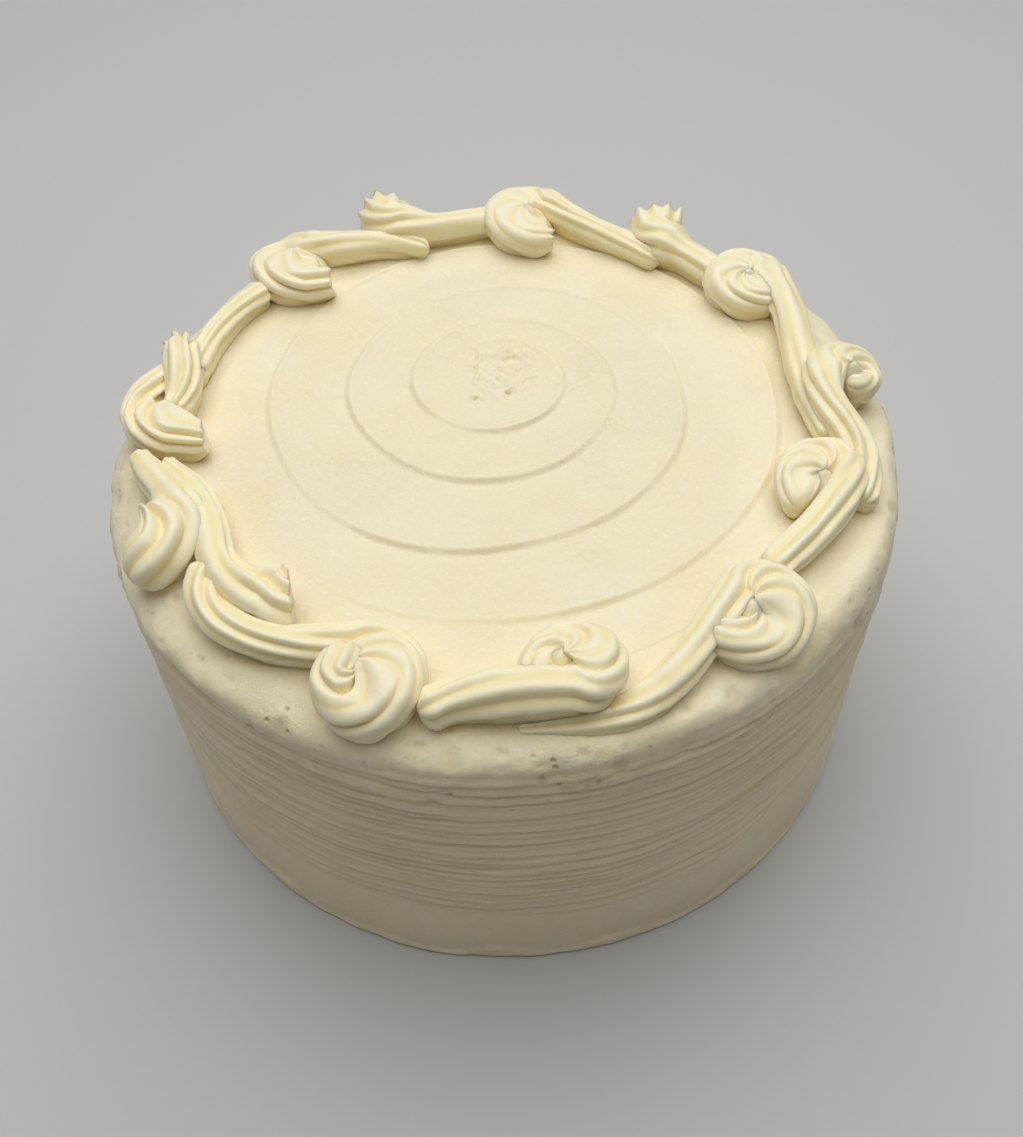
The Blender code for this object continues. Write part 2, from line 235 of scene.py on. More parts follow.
def icing_material(name, crest, groove, roughness, depth, lump, grain, pores, streaks):
    """Beaten icing: crest colour, a groove colour that paints bounce light and shade into hollows, how deep light goes
    in, and how much each bump shows.
    """
    material, tree, shader = new_material(name)
    place = tree.nodes.new("ShaderNodeTexCoord").outputs["Object"]
    hollow = tree.nodes.new("ShaderNodeAttribute")
    hollow.attribute_name = HOLLOW

    patch = texture(tree, "ShaderNodeTexNoise", place, 45.0, Detail=2.0).outputs["Fac"]
    cloudy = tuple(channel * tint for channel, tint in zip(crest, (0.985, 0.965, 0.90, 1.0)))
    pale = blend_colours(tree, spread(tree, patch, 0.35, 0.65), crest, cloudy)
    sugar = texture(tree, "ShaderNodeTexNoise", place, 1100.0, Detail=2.0).outputs["Fac"]
    bright = tuple(min(1.0, channel * tint) for channel, tint in zip(crest, (1.05, 1.07, 1.20, 1.0)))
    flecked = blend_colours(tree, spread(tree, sugar, 0.52, 0.70, 0.0, FLECK_SHARE), pale, bright)
    # The hollow value blends in the groove colour: painted warm bounce light, and on the smooth icing painted shade.
    colour = blend_colours(tree, spread(tree, hollow.outputs["Fac"], 0.0, 1.0), flecked, groove)

    lumps = texture(tree, "ShaderNodeTexNoise", place, 480.0, Detail=2.0, Roughness=0.5).outputs["Fac"]
    grains = texture(tree, "ShaderNodeTexNoise", place, 1900.0, Detail=3.0, Roughness=0.6).outputs["Fac"]
    where = texture(tree, "ShaderNodeTexNoise", place, 28.0, Detail=1.0).outputs["Fac"]
    holes = texture(tree, "ShaderNodeTexVoronoi", place, 250.0).outputs["Distance"]
    height = tree.nodes.new("ShaderNodeSeparateXYZ")
    tree.links.new(place, height.inputs[0])
    pitted = product(
        tree,
        spread(tree, height.outputs["Z"], 0.0997, 0.0988),
        spread(tree, height.outputs["Z"], 0.0780, 0.0860),
    )
    pitted = product(tree, pitted, spread(tree, where, 0.44, 0.56, 0.20, 1.0))
    pits = product(tree, spread(tree, holes, 0.20, 0.02), spread(tree, pitted, 0.0, 1.0, 0.12, 1.0))

    # Pits take a darker groove colour: painted shade in the pin holes near the shoulder.
    shaded = tuple(channel * tint for channel, tint in zip(groove, (0.80, 0.76, 0.72, 1.0)))
    if pores > 0.0:
        colour = blend_colours(tree, spread(tree, pits, 0.0, 1.0, 0.0, PIT_SHADE), colour, shaded)
    tree.links.new(colour, shader.inputs["Base Color"])

    stretch = tree.nodes.new("ShaderNodeMapping")
    tree.links.new(place, stretch.inputs["Vector"])
    stretch.inputs["Scale"].default_value = (1.0, 1.0, 26.0)
    streak = texture(tree, "ShaderNodeTexNoise", stretch.outputs["Vector"], 55.0, Detail=5.0).outputs["Fac"]

    grainy = product(tree, grains, spread(tree, where, 0.46, 0.60, 0.25, 1.0))

    normal = bump(tree, lumps, 0.0004, lump)
    normal = bump(tree, grainy, 0.00025, grain, normal)
    normal = bump(tree, spread(tree, pits, 0.0, 1.0, 1.0, 0.0), 0.0006, pores, normal)
    if streaks > 0.0:
        below_ledge = spread(tree, height.outputs["Z"], 0.0960, 0.0910)
        above_foot = spread(tree, height.outputs["Z"], 0.0160, 0.0320, 0.15, 1.0)
        combed = product(tree, streak, product(tree, below_ledge, above_foot))
        normal = bump(tree, combed, 0.0004, streaks, normal)
    tree.links.new(normal, shader.inputs["Normal"])

    tree.links.new(spread(tree, where, 0.40, 0.62, roughness + 0.05, roughness - 0.07), shader.inputs["Roughness"])
    shader.inputs["Specular IOR Level"].default_value = 0.42
    shader.inputs["Subsurface Weight"].default_value = 0.50
    shader.inputs["Subsurface Radius"].default_value = SUBSURFACE_RADIUS
    shader.inputs["Subsurface Scale"].default_value = depth
    return material


# The groove colours are painted light: warm bounce for the piping, bounce and shade for the smooth icing.
ICING_CREST = (0.895, 0.812, 0.585, 1.0)
ICING_GROOVE_SHADE = (0.78, 0.63, 0.33, 1.0)
PIPING_CREST = (0.975, 0.88, 0.65, 1.0)
PIPING_GROOVE_BOUNCE = (0.99, 0.835, 0.47, 1.0)

smooth_icing = icing_material("smooth icing", ICING_CREST, ICING_GROOVE_SHADE, 0.48, 0.0010, 0.45, 0.85, 1.0, 0.95)
piped_icing = icing_material("piped icing", PIPING_CREST, PIPING_GROOVE_BOUNCE, 0.36, 0.0018, 0.16, 0.12, 0.0, 0.0)
print("materials:", smooth_icing.name, "and", piped_icing.name)

# %% [markdown]
# ## Tools for uneven surfaces
#
# Every surface below is a grid of points that is worked out with numpy and then pushed in and out.
# Displacement modifiers could push it, but a formula can follow the cake's own directions: round
# it, along it, and down its side. `uneven` is a soft random field made of a few crossing waves.
# Its seed fixes it, so the cake comes out the same each time.

# %% Helpers for surfaces
WAVES = 14


def smooth(share):
    """0 to 1 with a soft start and end, clamped outside."""
    share = np.clip(share, 0.0, 1.0)
    return share * share * (3.0 - 2.0 * share)


def uneven(points, size, seed):
    """A soft random field at these points, about -1 to 1, with lumps of this size in metres."""
    draw = np.random.default_rng(seed)
    total = np.zeros(points.shape[:-1])
    for _ in range(WAVES):
        direction = draw.normal(size=3)
        direction = direction / np.linalg.norm(direction)
        wave_length = size * draw.uniform(0.7, 1.5)
        total += np.sin(points @ direction * (2.0 * math.pi / wave_length) + draw.uniform(0.0, 2.0 * math.pi))
    return total / math.sqrt(WAVES)


def unit(vectors):
    return vectors / np.linalg.norm(vectors, axis=-1, keepdims=True)


def grid_faces(rows, columns, first=0):
    """Quads between rows of points that run all the way round, as indices from this first point."""
    row = np.arange(rows - 1)[:, None] * columns
    here = np.arange(columns)[None, :]
    after = (here + 1) % columns
    return first + np.stack([row + here, row + after, row + columns + after, row + columns + here], -1).reshape(-1, 4)


def fan_faces(ring, tip, outwards):
    """Triangles from a ring of point numbers to one tip."""
    after = np.roll(ring, -1)
    tips = np.full(len(ring), tip)
    return np.stack([after, ring, tips] if outwards else [ring, after, tips], -1)


def new_piece(name, points, faces, hollow, material, node):
    """A smooth-shaded mesh piece that stands for a solid of the model and rides with it."""
    mesh = bpy.data.meshes.new(name)
    mesh.from_pydata(points.tolist(), [], [face for group in faces for face in group.tolist()])
    mesh.attributes.new(HOLLOW, "FLOAT", "POINT").data.foreach_set("value", hollow.astype(np.float32))
    mesh.materials.append(material)
    mesh.validate()
    mesh.shade_smooth()
    piece = bpy.data.objects.new(name, mesh)
    bpy.context.scene.collection.objects.link(piece)
    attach(piece, "root")
    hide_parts(node)
    triangles = sum(len(group) * (group.shape[1] - 2) for group in faces)
    print(name, "has", triangles, "triangles")
    return piece


# %% [markdown]
# ## The shape of the cake
#
# A cake is iced on a turntable with a long knife, so its outline is a turned one: a flat top, a
# round shoulder, a straight side and a foot where the icing is wiped against the board. The
# profile is a list of heights and distances with the direction in which the surface faces, and
# each relief below is a push along that direction.

# %% Cake sizes and profile
CAKE_RADIUS = 0.105
CAKE_HEIGHT = 0.1008
SHOULDER_RADIUS = 0.0151
FOOT_SPREAD = 0.0009
FOOT_LIP_HEIGHT = 0.0045
UNDERSIDE_EDGE = 0.0012
CAKE_SIDES = 520
TOP_STEP = 0.00064
SIDE_STEP = 0.00064

FLAT_RADIUS = CAKE_RADIUS - SHOULDER_RADIUS


def top_height(distance):
    """Height of the icing at this distance from the middle: flat, then round the shoulder."""
    over = np.clip(distance - FLAT_RADIUS, 0.0, SHOULDER_RADIUS * 0.995)
    return CAKE_HEIGHT - SHOULDER_RADIUS + np.sqrt(SHOULDER_RADIUS**2 - over**2)


def cake_profile():
    """Distance, height and facing of each row of points, from the middle of the top to underneath."""
    distance = np.arange(TOP_STEP, FLAT_RADIUS, TOP_STEP)
    rows = [(d, CAKE_HEIGHT, 0.0, 1.0) for d in distance]
    for angle in np.linspace(0.0, 0.5 * math.pi, int(0.5 * math.pi * SHOULDER_RADIUS / TOP_STEP))[:-1]:
        out = math.sin(angle)
        up = math.cos(angle)
        rows.append((FLAT_RADIUS + SHOULDER_RADIUS * out, CAKE_HEIGHT - SHOULDER_RADIUS * (1.0 - up), out, up))
    for height in np.arange(CAKE_HEIGHT - SHOULDER_RADIUS, UNDERSIDE_EDGE, -SIDE_STEP):
        rows.append((CAKE_RADIUS, height, 1.0, 0.0))
    rows.append((CAKE_RADIUS, UNDERSIDE_EDGE, 1.0, 0.0))
    rows.append((CAKE_RADIUS - 0.3 * UNDERSIDE_EDGE, 0.3 * UNDERSIDE_EDGE, 0.7, 0.0))
    rows.append((CAKE_RADIUS - UNDERSIDE_EDGE, 0.0, 0.0, 0.0))
    rows.append((0.5 * CAKE_RADIUS, 0.0, 0.0, 0.0))
    return np.array(rows)


profile = cake_profile()
around = 2.0 * math.pi * np.arange(CAKE_SIDES) / CAKE_SIDES
cake_points = np.stack([
    profile[:, None, 0] * np.cos(around),
    profile[:, None, 0] * np.sin(around),
    np.repeat(profile[:, None, 1], CAKE_SIDES, axis=1),
], -1)
cake_facing = np.stack([
    profile[:, None, 2] * np.cos(around),
    profile[:, None, 2] * np.sin(around),
    np.repeat(profile[:, None, 3], CAKE_SIDES, axis=1),
], -1)
print("cake rows:", len(profile), "of", CAKE_SIDES, "points")

# %% [markdown]
# ## The turntable spiral
#
# The baker ends by drawing the tip of the knife outwards while the cake turns, and each turn
# leaves a low lip with a step down outside it. The spiral could be a curve that is carved in with
# a Boolean, but the step is under a millimetre high and has no clean edge. So its height is read
# from the distance to each turn of the spiral, whose middle drifts a little as the turns widen.

# %% Turntable spiral
SPIRAL_FIRST_ANGLE = math.radians(114.0)
SPIRAL_MIDDLE = (np.array([-0.0002, 0.0194]), np.array([-0.0009, 0.0082]))
SPIRAL_MIDDLE_TURNS = 4.0
SPIRAL_RADIUS = (0.0138, 0.00855, 0.0030)
SPIRAL_LAST_RADIUS = 0.0748
SPIRAL_TURNS = 3.72
LIP_HEIGHT = 0.00046
LIP_WIDTH = 0.00085
STEP_DEPTH = 0.00074
STEP_WIDTH = 0.0017
STEP_RECOVERY = 0.0095


def spiral_radius(turn):
    """Distance of the lip from the spiral's middle after this many turns."""
    grown = SPIRAL_RADIUS[0] + SPIRAL_RADIUS[1] * turn + SPIRAL_RADIUS[2] * turn**2
    return np.minimum(grown, SPIRAL_LAST_RADIUS)


def spiral_relief(points):
    """Height that the turntable spiral adds at points of the top."""
    place = points[..., :2] + 0.0006 * np.stack([uneven(points, 0.050, 11), uneven(points, 0.050, 12)], -1)
    height = np.zeros(points.shape[:-1])
    for lap in range(5):
        turn = np.full(height.shape, float(lap))
        for _ in range(4):
            share = np.clip(turn / SPIRAL_MIDDLE_TURNS, 0.0, 1.0)[..., None]
            from_middle = place - (SPIRAL_MIDDLE[0] + (SPIRAL_MIDDLE[1] - SPIRAL_MIDDLE[0]) * share)
            angle = np.arctan2(from_middle[..., 1], from_middle[..., 0])
            turn = lap + np.mod((SPIRAL_FIRST_ANGLE - angle) / (2.0 * math.pi), 1.0)
        beyond = np.linalg.norm(from_middle, axis=-1) - spiral_radius(turn)
        present = smooth(turn / 0.10) * smooth((SPIRAL_TURNS - turn) / 0.22)
        strength = present * (0.80 + 0.26 * uneven(points, 0.030, 20 + lap)) * (0.72 + 0.28 * smooth(-angle / 2.0))
        lip = LIP_HEIGHT * (1.0 + 0.8 * smooth(np.sin(angle))) * np.exp(-((beyond / LIP_WIDTH) ** 2))
        step = STEP_DEPTH * smooth(beyond / STEP_WIDTH) * (1.0 - smooth((beyond - STEP_WIDTH) / STEP_RECOVERY))
        rise = 0.45 * STEP_DEPTH * smooth(1.0 + beyond / STEP_RECOVERY) * (beyond < 0.0)
        fall = 0.45 * STEP_DEPTH * (1.0 - smooth(beyond / STEP_WIDTH)) * (beyond >= 0.0)
        height += strength * (lip - step + rise + fall)
    return height


# %% [markdown]
# ## Where the knife left the icing
#
# In the middle of the spiral the knife was lifted, and it pulled up a rough little patch with
# torn edges and a few open pores. Pores are modelled one by one as small bowls with a raised rim,
# because they are large enough to throw a shadow.

# %% Rough patch and pores
ROUGH_MIDDLE = (0.0015, 0.0205)
ROUGH_HALF = (0.0100, 0.0110)
ROUGH_HEIGHT = 0.00044
TEAR_RADIUS = 0.0088
TEAR_HEIGHT = 0.00085
TORN_EDGE_X = -0.0062

Pore = namedtuple("Pore", "place radius depth")

TOP_PORES = (
    Pore((-7.0, 10.4), (1.7, 0.9), 1.3),
    Pore((-4.9, 9.6), (0.9, 0.6), 0.5),
    Pore((2.3, 12.1), (1.2, 1.2), 1.6),
    Pore((3.4, 13.4), (0.8, 0.9), 0.9),
    Pore((-6.5, 26.1), (0.5, 0.8), 0.6),
    Pore((-1.5, 23.2), (0.4, 0.5), 0.4),
    Pore((20.0, 12.5), (0.7, 0.5), 0.5),
    Pore((-46.0, -12.0), (0.6, 0.5), 0.4),
    Pore((-43.0, -13.5), (0.5, 0.5), 0.4),
)


def rough_patch(points):
    """Height of the torn patch where the knife came off."""
    across = (points[..., 0] - ROUGH_MIDDLE[0]) / ROUGH_HALF[0]
    along = (points[..., 1] - ROUGH_MIDDLE[1]) / ROUGH_HALF[1]
    inside = smooth(1.6 - 1.2 * np.hypot(across, along))
    grain = 0.6 * uneven(points, 0.0032, 31) + 0.4 * uneven(points, 0.0017, 32)
    edge = np.exp(-(((points[..., 0] - TORN_EDGE_X - 0.0008 * uneven(points, 0.006, 33)) / 0.0006) ** 2))
    edge = edge * smooth((points[..., 1] - 0.0140) / 0.004) * smooth((0.0330 - points[..., 1]) / 0.003)
    around = np.degrees(np.arctan2(along, across))
    out = ROUGH_HALF[0] * np.hypot(across, along) - TEAR_RADIUS - 0.0007 * uneven(points, 0.007, 34)
    tear = np.where(out < 0.0, np.exp(-((out / 0.0022) ** 2)), np.exp(-((out / 0.0005) ** 2)))
    tear = tear * smooth((around + 10.0) / 30.0) * smooth((140.0 - around) / 30.0)
    return ROUGH_HEIGHT * inside * grain + 0.00060 * edge + TEAR_HEIGHT * tear * (0.8 + 0.4 * uneven(points, 0.004, 35))


def bowl(distance):
    """A pore's shape against distance in radii: a hollow with a slightly raised rim."""
    hollow = np.where(distance < 1.0, (1.0 - distance**2) ** 2, 0.0)
    rim = np.exp(-(((distance - 1.15) / 0.35) ** 2))
    return hollow - 0.16 * rim


def top_pores(points):
    """Depth of the pores on the flat top."""
    depth = np.zeros(points.shape[:-1])
    for pore in TOP_PORES:
        across = (points[..., 0] / MM - pore.place[0]) / pore.radius[0]
        along = (points[..., 1] / MM - pore.place[1]) / pore.radius[1]
        depth += MM * pore.depth * bowl(np.hypot(across, along))
    return depth


# %% [markdown]
# ## Comb lines and foot
#
# The side was smoothed with a comb held against the turning cake. It left a stack of lines that
# are nearly level but wander, come and go, and stand at uneven heights. Each line is a fine lip
# over a shallow groove. Under the last of them the side is plain, and at the very bottom the
# icing bulges out a little where it was wiped off the board.

# %% Comb lines and foot
COMB_HEIGHTS = (
    27.3, 31.9, 34.6, 36.9, 40.4, 42.6, 44.9, 48.9, 51.4, 54.3, 56.8, 58.9, 62.0, 64.4, 66.6, 69.3, 71.2,
    74.6, 77.3, 79.7, 82.4, 84.2, 85.9, 88.6, 91.0, 93.2, 95.3,
)
COMB_LIP = 0.00060
COMB_GROOVE = 0.00066
COMB_WIDTH = 0.00080
COMB_WANDER = 0.0013


def comb_relief(points, angle):
    """Push of the comb lines along the surface."""
    push = np.zeros(points.shape[:-1])
    draw = np.random.default_rng(5)
    for height in COMB_HEIGHTS:
        phase = draw.uniform(0.0, 2.0 * math.pi, 4)
        wander = 0.6 * np.sin(2.0 * angle + phase[0]) + 0.4 * np.sin(5.0 * angle + phase[1])
        above = points[..., 2] - MM * height - COMB_WANDER * wander
        strength = 0.78 + 0.22 * np.sin(3.0 * angle + phase[2]) * np.sin(7.0 * angle + phase[3])
        lip = COMB_LIP * np.exp(-(((above - 0.3 * COMB_WIDTH) / (0.55 * COMB_WIDTH)) ** 2))
        groove = COMB_GROOVE * np.exp(-(((above + 0.9 * COMB_WIDTH) / (1.1 * COMB_WIDTH)) ** 2))
        push += strength * draw.uniform(0.55, 1.25) * (lip - groove)
    return push


def foot_relief(points, angle):
    """Push of the uneven lip at the bottom."""
    rise = FOOT_LIP_HEIGHT * (1.0 + 0.35 * uneven(points * (1.0, 1.0, 0.0), 0.022, 41))
    share = smooth((rise - points[..., 2]) / (0.55 * FOOT_LIP_HEIGHT))
    return FOOT_SPREAD * share * (0.80 + 0.18 * uneven(points * (1.0, 1.0, 0.0), 0.012, 42))


# %% [markdown]
# ## Shoulder
#
# The comb pushed a soft ledge of icing up over the edge, and the knife met it from above. So the
# shoulder is flatter than a quarter circle down to the ledge, catches the light there, and drops
# sharply below it. It is also the roughest place: soft dents, small blisters, and pores that
# nobody smoothed. The largest ones are listed, and a seeded draw scatters the others.

# %% Shoulder pores and the cake piece
Ledge = namedtuple("Ledge", "angle push height below above")
LEDGE = (
    Ledge(-172, 1.6, 92.5, 3.4, 4.6),
    Ledge(-135, 2.8, 94.8, 3.0, 4.0),
    Ledge(-92, 2.8, 96.0, 4.0, 3.2),
    Ledge(-55, 3.2, 97.5, 5.0, 2.0),
    Ledge(-10, 3.0, 97.2, 4.6, 2.2),
    Ledge(40, 1.4, 92.5, 3.0, 4.6),
    Ledge(110, 1.2, 90.5, 2.6, 4.6),
)
LEDGE_ANGLES = [row.angle for row in LEDGE]
SHOULDER_PORES = 230
BLISTER_DEPTH = 1.9
Blister = namedtuple("Blister", "angle lean radius depth")
LARGE_BLISTERS = (
    Blister(-82, 43, 1.5, 0.55), Blister(-80, 46, 0.9, 0.35), Blister(-102, 37, 1.5, 0.50), Blister(-92, 38, 1.8, 0.45),
    Blister(-89, 44, 1.0, 0.35), Blister(-98, 45, 3.5, 0.30), Blister(-86, 52, 4.0, 0.30), Blister(-125, 68, 1.4, 0.45),
    Blister(-142, 53, 1.2, 0.40), Blister(-135, 42, 1.3, 0.35), Blister(-87, 48, 1.0, 0.30), Blister(-115, 30, 2.5, 0.45),
    Blister(-77, 45, 1.0, 0.35), Blister(-8, 16, 1.2, 0.45), Blister(-42, 8, 1.0, 0.40), Blister(-33, 23, 1.2, 0.40),
    Blister(-120, 52, 3.0, 0.35), Blister(-69, 60, 3.5, 0.30), Blister(-20, 45, 2.6, 0.30),
)


def shoulder_pores(points):
    """Depth of the pores and dents of the shoulder: the large ones, then a scatter of small ones."""
    depth = np.zeros(points.shape[:-1])
    draw = np.random.default_rng(17)
    blisters = list(LARGE_BLISTERS)
    for _ in range(SHOULDER_PORES):
        angle = draw.uniform(-180.0, 180.0)
        lean = draw.uniform(12.0, 95.0)
        radius = draw.choice((0.9, 1.2, 1.8, 3.2), p=(0.50, 0.28, 0.12, 0.10))
        deep = radius * draw.uniform(0.16, 0.34) * (0.45 if radius > 2.5 else 1.0)
        blisters.append(Blister(angle, lean, radius, deep))
    for blister in blisters:
        angle = math.radians(blister.angle)
        lean = math.radians(blister.lean)
        radius = MM * blister.radius
        deep = MM * BLISTER_DEPTH * blister.depth
        distance = FLAT_RADIUS + SHOULDER_RADIUS * math.sin(lean)
        place = np.array([
            distance * math.cos(angle),
            distance * math.sin(angle),
            CAKE_HEIGHT - SHOULDER_RADIUS * (1.0 - math.cos(lean)),
        ])
        away = np.linalg.norm(points - place, axis=-1) / radius
        depth += deep * bowl(away)
    return depth


def ledge_relief(points, angle):
    """Push of the ledge, and how far below its crest each point lies."""
    push, height, below, above = (
        MM * np.interp(np.degrees(angle), LEDGE_ANGLES, values, period=360.0) for values in zip(*(row[1:] for row in LEDGE))
    )
    over = points[..., 2] - height
    push = push * (0.92 + 0.22 * uneven(points, 0.032, 6))
    return push * np.exp(-((over / np.where(over < 0.0, below, above)) ** 2)), -over


def cake_relief(points, facing):
    """Every push of the cake's surface together, and how hollow each point is, which paints shade into its pores and
    comb grooves.
    """
    angle = np.arctan2(points[..., 1], points[..., 0])
    flat = smooth((facing[..., 2] - 0.90) / 0.10)
    ledge, below_ledge = ledge_relief(points, angle)
    upright = smooth((below_ledge + 0.0004) / 0.0034) * smooth(facing[..., 0] ** 2 + facing[..., 1] ** 2)
    edge = 4.0 * facing[..., 2] * (1.0 - facing[..., 2])
    free = np.where(np.linalg.norm(facing, axis=-1) > 0.99, 1.0, 0.0)
    broad = 0.00026 * uneven(points, 0.036, 1) + 0.00010 * uneven(points, 0.011, 2)
    shoulder = 0.00028 * uneven(points, 0.015, 3) + 0.00018 * uneven(points, 0.0048, 4)
    fine = 0.000022 * uneven(points, 0.0022, 5)
    spiral = spiral_relief(points)
    comb = comb_relief(points, angle)
    pores = flat * top_pores(points) + (1.0 - flat) * shoulder_pores(points)
    push = flat * (spiral + rough_patch(points)) + upright * comb - pores
    push = push + free * (broad * (1.0 - 0.5 * flat) + edge * shoulder + fine) + (1.0 - flat) * free * ledge
    push = push + free * upright * foot_relief(points, angle)
    # Pores and comb grooves take the groove colour: painted shade in the hollows of the cake.
    hollow = (0.22 + 0.53 * flat) * smooth(pores / 0.0006) + 0.32 * smooth(-upright * comb / COMB_GROOVE)
    return push, np.clip(hollow, 0.0, 1.0)


SEAM_ROW = int(0.90 * FLAT_RADIUS / TOP_STEP)


def make_cake():
    """The icing as a top and a side that meet in one row of points under the border."""
    push, hollow = cake_relief(cake_points, cake_facing)
    limit = CAKE_RADIUS + FOOT_SPREAD
    moved = cake_points + cake_facing * push[..., None]
    out = np.linalg.norm(moved[..., :2], axis=-1, keepdims=True)
    moved[..., :2] *= np.minimum(1.0, limit / np.maximum(out, 1e-6))
    pieces = []
    for name, rows, middle, at_start in (
        ("cake_top_icing", slice(0, SEAM_ROW + 1), (0.0, 0.0, moved[0, :, 2].mean()), True),
        ("cake_side_icing", slice(SEAM_ROW, None), (0.0, 0.0, 0.0), False),
    ):
        part = moved[rows]
        count = len(part) * CAKE_SIDES
        end_row = (0 if at_start else count - CAKE_SIDES) + np.arange(CAKE_SIDES)
        faces = [grid_faces(len(part), CAKE_SIDES)[:, ::-1], fan_faces(end_row, count, not at_start)]
        points = np.vstack([part.reshape(-1, 3), [middle]])
        shade = np.append(hollow[rows].reshape(-1), 0.0)
        pieces.append(new_piece(name, points, faces, shade, smooth_icing, "cake"))
    return pieces


cake = make_cake()

# %% [markdown]
# ## How a scroll is piped
#
# The border is a row of question marks, piped clockwise. The baker starts a head, turns the
# nozzle round it, and pulls the tail along the edge, where the next head covers its end. A curve
# with a star-shaped bevel would give a rope, but its section would stay the same all the way. So
# each scroll is lofted: a route seen from above, a middle line that rises over the icing, and a
# star section that is set across it every half millimetre. The numbers for each scroll are its
# places in degrees round the cake and millimetres out, its bends, and the rope's radii.

# %% Scroll sizes
Scroll = namedtuple("Scroll", "head turn_radius heading turn straight tail tail_heading pulls size lift")
Line = namedtuple("Line", "points along size bend fill")

SCROLLS = (
    Scroll((82, 88), (12.2, 7.7), 183, -239, 5.3, (55, 80.5), -46, (0.9, 1.1), (4.6, 4.7, 4.3, 3.6), (5.2, 5.8, 3.4)),
    Scroll((53, 94), (6.8, 7.7), -82, 42, 4.2, (38, 84.5), -56, (1.0, 1.0), (9.2, 7.4, 4.9, 4.2), (5.8, 5.4, 4.2)),
    Scroll((34, 88), (8.9, 7.0), 205, -283, 0.0, (-9, 84.7), -81, (1.5, 1.5), (4.4, 5.2, 4.7, 4.2), (5.2, 5.8, 4.2)),
    Scroll((2, 92.6), (3.2, 8.2), 8, 260, 0.0, (-22, 94.8), -114, (1.3, 1.4), (3.4, 4.8, 4.6, 3.8), (8.4, 9.4, 4.2)),
    Scroll((-21, 85), (8.9, 6.9), 101, -136, 4.6, (-42, 84.5), -139, (0.8, 1.1), (3.9, 4.9, 4.8, 4.7), (4.6, 5.8, 4.2)),
    Scroll((-51, 88), (12.4, 5.3), -42, 262, 0.0, (-89, 95.0), -178, (1.9, 1.4), (4.6, 4.8, 4.6, 2.0), (5.2, 5.8, 0.2)),
    Scroll((-81, 86), (8.3, 5.9), 87, -267, 0.0, (-100.8, 93.4), -162, (1.0, 0.9), (4.4, 5.5, 5.9, 4.9), (6.3, 7.4, 5.2)),
    Scroll((-111, 91), (5.5, 11.1), -98, 291, 3.6, (-144, 88.0), 83, (1.4, 1.0), (5.6, 4.9, 4.6, 5.0), (7.0, 5.8, 4.2)),
    Scroll((-134, 74), (9.0, 8.8), 190, -37, 0.0, (-170, 86.7), 134, (1.4, 1.7), (7.6, 6.3, 4.7, 3.1), (6.2, 6.2, 4.2)),
    Scroll((-157, 96), (9.5, 10.0), 35, 89, 1.8, (-173, 93.8), 123, (0.9, 1.0), (7.8, 6.6, 4.5, 3.1), (5.6, 6.2, 4.2)),
    Scroll((175, 84), (12.6, 12.6), 170, -91, 9.6, (164, 91.9), 76, (0.9, 1.1), (5.2, 4.9, 4.7, 3.7), (5.2, 5.8, 4.2)),
    Scroll((163, 98), (5.7, 7.3), -72, -35, 1.4, (175, 86.1), -106, (0.9, 1.2), (4.2, 4.8, 5.0, 4.2), (6.3, 7.9, 5.2)),
    Scroll((130, 90), (12.0, 8.2), 194, -218, 7.2, (107, 79.5), -22, (0.9, 1.1), (5.7, 4.8, 4.6, 3.3), (5.2, 5.8, 3.4)),
    Scroll((106, 95), (6.5, 7.6), -70, 61, 4.6, (88, 86.7), 0, (1.1, 1.1), (8.8, 6.8, 4.8, 4.7), (5.9, 5.2, 4.2)),
)

SECOND_STROKE_OF = 12
SECOND_STROKE = Scroll(
    (165, 80.3), (6.1, 6.7), 81, -20, 0.0, (141.5, 88.3), 49, (1.0, 1.3), (3.8, 4.2, 4.2, 4.2), (3.1, 3.7, 4.2)
)
print("scrolls:", len(SCROLLS))

# %% [markdown]
# ## Route and middle line
#
# The head is an arc whose radius changes as it turns, with a straight start before it, and the
# tail is a cubic that leaves the arc and arrives at its end with a given direction. The middle
# line then takes its height from the icing below plus a lift, which is largest in the head.

# %% Route and middle line
ROUTE_SAMPLES = 400
DRAPE_RADIUS = 0.0998
HEAD_FADE = 0.12
HEAD_CLOSED = 0.80
TAIL_SWELL = 0.35
TAIL_TAPER = 0.25


def on_plan(place):
    """A place in degrees and millimetres, as metres on the plan."""
    angle, distance = place
    return distance * MM * np.array([math.cos(math.radians(angle)), math.sin(math.radians(angle))])


